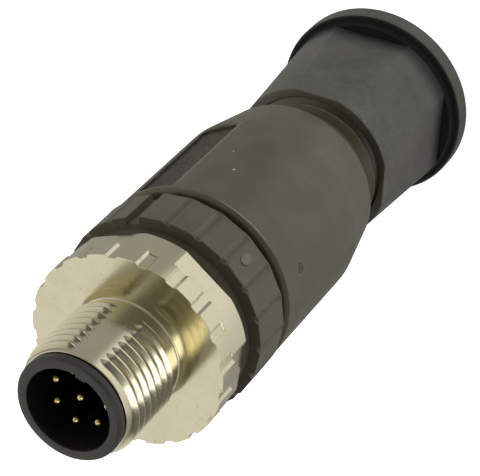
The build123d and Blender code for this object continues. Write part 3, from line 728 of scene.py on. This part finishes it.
def makeSleeve():
    s = sleeve
    neckEnd, front = heights("body_sleeve")
    shoulder = front - s["cylinderLength"]
    rear = shoulder - s["coneLength"]
    chamberRear = rear + s["chamberFromRear"]
    partitionFront = chamberRear - s["chamber"] + s["hole"]
    partitionRear = partitionFront - s["partition"]
    seatRear = partitionRear - s["sealProud"]
    mesh = turnedMesh("bodySleeve", [
        (s["threadBore"], front, 0.15), (s["radius"] - s["edge"], front, 0.1), (s["radius"], front - s["edge"], 0.1),
        (s["radius"], shoulder, s["shoulder"]), (s["rear"], rear, 0.25), (s["neck"], rear, 0.1),
        (s["neck"], neckEnd, 0.2), (s["neckBore"], neckEnd, 0.1), (s["neckBore"], seatRear),
        (s["seatBore"], seatRear), (s["seatBore"], partitionRear), (s["hole"], partitionRear, 0.1),
        (s["hole"], partitionFront, 0.1), (s["chamber"], chamberRear), (s["chamber"], front - s["threadBoreLength"]),
        (s["threadBore"], front - s["threadBoreLength"]),
    ], 240)
    piece = newPiece("bodySleeve", mesh, finishes["sleeve_plastic"])
    cut(piece, labelCutter(front))
    tidied(piece.data, 30)
    neckFront = rear - 2.7
    turns = (neckFront - neckEnd) / s["pitch"] - 0.7
    threadRidge.apply(piece, finishes["sleeve_plastic"], **{
        "Crest radius": s["crest"], "Root radius": s["neck"], "Pitch": s["pitch"], "Turns": turns,
        "Base": neckEnd + 0.5 * s["pitch"], "Steps": int(turns * 96), "First angle": 60.0,
        "Channel half width": -50.0, "Fade": 1.0,
    })
    settle(piece, "sleeve", "sleeve_plastic", "body_sleeve")


makeSleeve()

nut = {
    "front": 8.6, "coneRear": 9.7, "flange": 10.5, "flangeThickness": 2.0, "flats": 4, "flatAngle": 33.5,
    "flatFront": 8.27, "flatRear": 8.68, "flatEnd": 0.9, "bore": 7.68, "entry": 3.9, "entryFlare": 0.8,
    "exitLength": 5.0, "rim": 0.3,
}


def nutFlat(height, length):
    n = nut
    start = n["flangeThickness"] + n["flatEnd"]
    return n["flatRear"] + (n["flatFront"] - n["flatRear"]) * (height - start) / (length - start)


def nutCone(height, length):
    n = nut
    return n["coneRear"] + (n["front"] - n["coneRear"]) * (height - n["flangeThickness"]) / (length - n["flangeThickness"])


def makeNut():
    n = nut
    low, length = heights("clamping_nut")
    start = n["flangeThickness"] + n["flatEnd"]
    acrossFlat, acrossRound = 26, 40

    def columns(height):  # the columns follow the flats' edges
        level = min(max(height, start), length)
        half = degrees(acos(nutFlat(level, length) / nutCone(level, length)))
        spread = 360 / n["flats"]
        angles = []
        for index in range(n["flats"]):
            middle = n["flatAngle"] + index * spread
            angles += list(middle + np.linspace(-half, half, acrossFlat, endpoint=False))
            angles += list(middle + np.linspace(half, spread - half, acrossRound, endpoint=False))
        return np.array(angles)

    def shape(angles, radius, height):
        if radius < n["bore"] + 0.5 or height < start - 0.001:
            return np.full(len(angles), radius)
        spread = 360 / n["flats"]
        off = (angles - n["flatAngle"] + spread / 2) % spread - spread / 2
        flat = nutFlat(height, length) / np.cos(np.radians(off))
        cone = nutCone(height, length)
        return np.minimum(radius, flat - np.clip(cone - radius, 0, 1))

    outside = [(nutCone(start, length), start - 0.12, 0.1), (nutCone(start, length), start)]
    outside += [(nutCone(height, length), height) for height in np.linspace(start + 0.35, length - 0.5, 12)]
    mesh = turnedMesh("clampingNut", [
        (n["entry"], n["exitLength"]), (n["entry"], n["entryFlare"]), (n["entry"] + n["entryFlare"], low, 0.3),
        (n["flange"], low, n["rim"]), (n["flange"], n["flangeThickness"], n["rim"]),
        (n["coneRear"] + 0.02, n["flangeThickness"], 0.25), *outside, (n["front"], length, 0.12),
        (n["bore"], length, 0.06), (n["bore"], n["exitLength"]),
    ], columns, shape, 8, 13)
    settle(newPiece("clampingNut", mesh, finishes["nut_plastic"]), "nut", "nut_plastic", "clamping_nut")


makeNut()

insert = {
    "shroud": 4.85, "well": 4.25, "wellDepth": 9.0, "lip": 5.3, "lipLength": 0.9, "lipSoftness": 0.36, "rimSoftness": 0.05,
    "keyAngle": 108.5, "keyWidth": 1.1, "keyHeight": 0.85, "keyFromFront": 0.5,
}


def makeInsert():
    i = insert
    rear, front = heights("contact_insert")
    floor = front - i["wellDepth"]
    mesh = turnedMesh("contactInsert", [
        (0.0, rear), (i["shroud"], rear, 0.2), (i["shroud"], front - i["lipLength"]),
        (i["lip"], front - i["lipLength"], 0.1), (i["lip"], front, i["lipSoftness"]), (i["well"], front, i["rimSoftness"]),
        (i["well"], floor, 0.1), (0.0, floor),
    ], 200)
    keyTop = front - i["keyFromFront"]
    key = boxMesh(i["keyWidth"], 2 * i["keyHeight"], keyTop - floor + 0.2, i["keyAngle"], i["well"],
                  (keyTop + floor) / 2 - 0.1)
    bevelled(key, 0.12)
    piece = joined("contactInsert", finishes["insert_plastic"], mesh, key)
    settle(piece, "plug_core", "insert_plastic", "contact_insert")


def bevelled(mesh, width, steps=3):
    work = bmesh.new()
    work.from_mesh(mesh)
    bmesh.ops.bevel(work, geom=work.edges, offset=width * mm, segments=steps, profile=0.5, affect="EDGES")
    work.to_mesh(mesh)
    work.free()
    mesh.shade_smooth()


makeInsert()


pinTip = {"radius": 0.4, "length": 0.38, "steps": 8}


def roundTip(mesh):  # the pin's bevelled end becomes a dome
    p = pinTip
    work = bmesh.new()
    work.from_mesh(mesh)
    top = max(vert.co.z for vert in work.verts)
    level = top - p["length"] * mm
    bmesh.ops.bisect_plane(work, geom=work.verts[:] + work.edges[:] + work.faces[:], plane_co=(0, 0, level),
                           plane_no=(0, 0, 1), clear_outer=True)
    rim = [edge for edge in work.edges if edge.is_boundary]
    centre = sum((edge.verts[0].co + edge.verts[1].co for edge in rim), Vector()) / (2 * len(rim))
    reach = 1.0
    for step in range(1, p["steps"]):
        turn = radians(90) * step / p["steps"]
        made = bmesh.ops.extrude_edge_only(work, edges=rim)["geom"]
        rim = [item for item in made if isinstance(item, bmesh.types.BMEdge)]
        for vert in {vert for edge in rim for vert in edge.verts}:
            vert.co.xy = centre.xy + (vert.co.xy - centre.xy) * (cos(turn) / reach)
            vert.co.z = level + (top - level) * sin(turn)
        reach = cos(turn)
    made = bmesh.ops.extrude_edge_only(work, edges=rim)["geom"]
    bmesh.ops.pointmerge(work, verts=[item for item in made if isinstance(item, bmesh.types.BMVert)],
                         merge_co=(centre.x, centre.y, top))
    work.to_mesh(mesh)
    work.free()


def polished(node, body, slot, name, sharp=32):  # a merged, softly shaded copy of a CAD node
    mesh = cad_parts[node].data.copy()
    mesh.name = name
    for attribute in list(mesh.attributes):
        if attribute.name.startswith("custom_normal"):
            mesh.attributes.remove(attribute)
    if mesh.uv_layers:
        mesh.uv_layers.remove(mesh.uv_layers[0])
    tidied(mesh, sharp, 0.0005)
    if slot == "gold":
        roundTip(mesh)
        tidied(mesh, sharp, 0.0005)
    return settle(newPiece(name, mesh, finishes[slot]), body, slot, node)


polished("terminal_carrier", "plug_core", "insert_plastic", "terminalCarrier")
polished("slip_washer", "clamp_stack", "clamp_plastic", "slipWasher")
polished("cable_clamp", "clamp_stack", "clamp_plastic", "cableClamp")
polished("cable_seal", "clamp_stack", "seal_rubber", "cableSeal")
for number in range(1, 9):
    polished(f"contact_pin_{number}", "plug_core", "gold", f"contactPin{number}", 50)
    polished(f"terminal_screw_{number}", f"wire_screw_{number}", "screw_steel", f"terminalScrew{number}")


studio = {
    "floorSize": 3.0, "floorTone": 0.86, "floorGlow": 0.85,
    "skyFront": 0.40, "skyBack": 0.83,
    "darkTone": 0.15, "darkTowards": (-0.16, 0.61, 0.775), "darkInner": 17, "darkOuter": 40,
    "sideTone": 0.16, "sideTowards": (0.66, -0.38, 0.64), "sideInner": 13, "sideOuter": 32,
    "tableTone": 0.37, "tableTowards": (0.57, 0.82),
}
view = {
    "place": (0.000144, 0.142452, 0.194921), "tilt": 41.3, "turn": 180.0, "roll": -135.4,
    "lens": 164.9, "sensor": 36.0,
}


def stagePlane(name, height, material):
    bpy.ops.mesh.primitive_plane_add(size=studio["floorSize"], location=(0, 0, height))
    plane = bpy.context.object
    plane.name = name
    plane.data.materials.append(material)
    return plane


def makeFloor():
    f = Finish("floorPaper", Roughness=0.8, Emission_Color=(1, 1, 1, 1), Emission_Strength=studio["floorGlow"])
    cloud = f.noise(0.02, 2.0, 0.5)
    tone = studio["floorTone"]
    f.done(f.blend(cloud, (tone, tone, tone), (tone + 0.02, tone + 0.02, tone + 0.02)), None)
    stagePlane("floor", 0, f.material)


def makeTable():  # what the plug reflects of its surroundings: a pale table that is dark at the sides
    f = Finish("tablePaper", Roughness=0.9)
    aimX, aimY = studio["tableTowards"]
    towards = (f.x * aimX + f.y * aimY) / (f.radius + 1)
    front = (f.y / (f.radius + 1)).ramp(0.0, 0.95, 0.62, 1.0)
    cloud = f.noise(0.02, 2.0, 0.5)
    tone = towards.ramp(0.40, 0.66) * front * (0.98 - studio["tableTone"]) + studio["tableTone"] + cloud * 0.02
    f.done(f.join(tone, tone, tone), None)
    table = stagePlane("table", 0.1 * mm, f.material)
    table.visible_camera = False
    table.visible_diffuse = False
    table.visible_shadow = False


def makeSky():
    world = bpy.data.worlds.new("studio")
    world.use_nodes = True
    scene.world = world
    kit = NodeKit(world.node_tree)
    place = kit.node("ShaderNodeTexCoord", None, None, "Generated")
    x, y, z = kit.split(place)
    level = y.ramp(-0.7, 0.5, studio["skyBack"], studio["skyFront"], smooth=False)
    for patch in ("dark", "side"):  # two parts of the room that the light doesn't reach
        towards = kit.node("ShaderNodeVectorMath", {"operation": "DOT_PRODUCT"},
                           {0: place, 1: Vector(studio[patch + "Towards"]).normalized()}, 1)
        inside = towards.ramp(cos(radians(studio[patch + "Outer"])), cos(radians(studio[patch + "Inner"])))
        level = level + (studio[patch + "Tone"] - level) * inside
    background = world.node_tree.nodes["Background"]
    kit.tree.links.new(level.socket, background.inputs["Strength"])
    background.inputs["Color"].default_value = (1, 0.985, 0.94, 1)


def softLight(name, direction, distance, size, radiance, unseen):  # unseen in one kind of light path
    lamp = bpy.data.lights.new(name, "AREA")
    lamp.shape = "RECTANGLE"
    lamp.size, lamp.size_y = size
    lamp.energy = radiance * pi * size[0] * size[1]
    light = bpy.data.objects.new(name, lamp)
    light.location = Vector(direction).normalized() * distance + Vector((0, 0, 0.04))
    light.rotation_euler = (Vector((0, 0, 0.04)) - light.location).to_track_quat("-Z", "Y").to_euler()
    setattr(light, "visible_" + unseen, False)
    scene.collection.objects.link(light)


def makeCamera():
    lens = bpy.data.cameras.new("camera")
    lens.lens = view["lens"]
    lens.sensor_width = view["sensor"]
    lens.clip_start = 0.01
    camera = bpy.data.objects.new("camera", lens)
    turns = (Matrix.Rotation(radians(view["turn"]), 4, "Z") @ Matrix.Rotation(radians(view["tilt"]), 4, "X")
             @ Matrix.Rotation(radians(view["roll"]), 4, "Z"))
    camera.matrix_world = Matrix.Translation(view["place"]) @ turns
    scene.collection.objects.link(camera)
    scene.camera = camera


makeFloor()
makeTable()
makeSky()
softLight("overheadLight", (-0.42, -0.05, 1.0), 0.8, (0.5, 0.5), 4.6, "glossy")
softLight("sideLight", (0.64, 0.17, 0.75), 0.6, (0.28, 0.26), 1.9, "diffuse")
makeCamera()
scene.view_settings.view_transform = "Standard"
print("stage set")
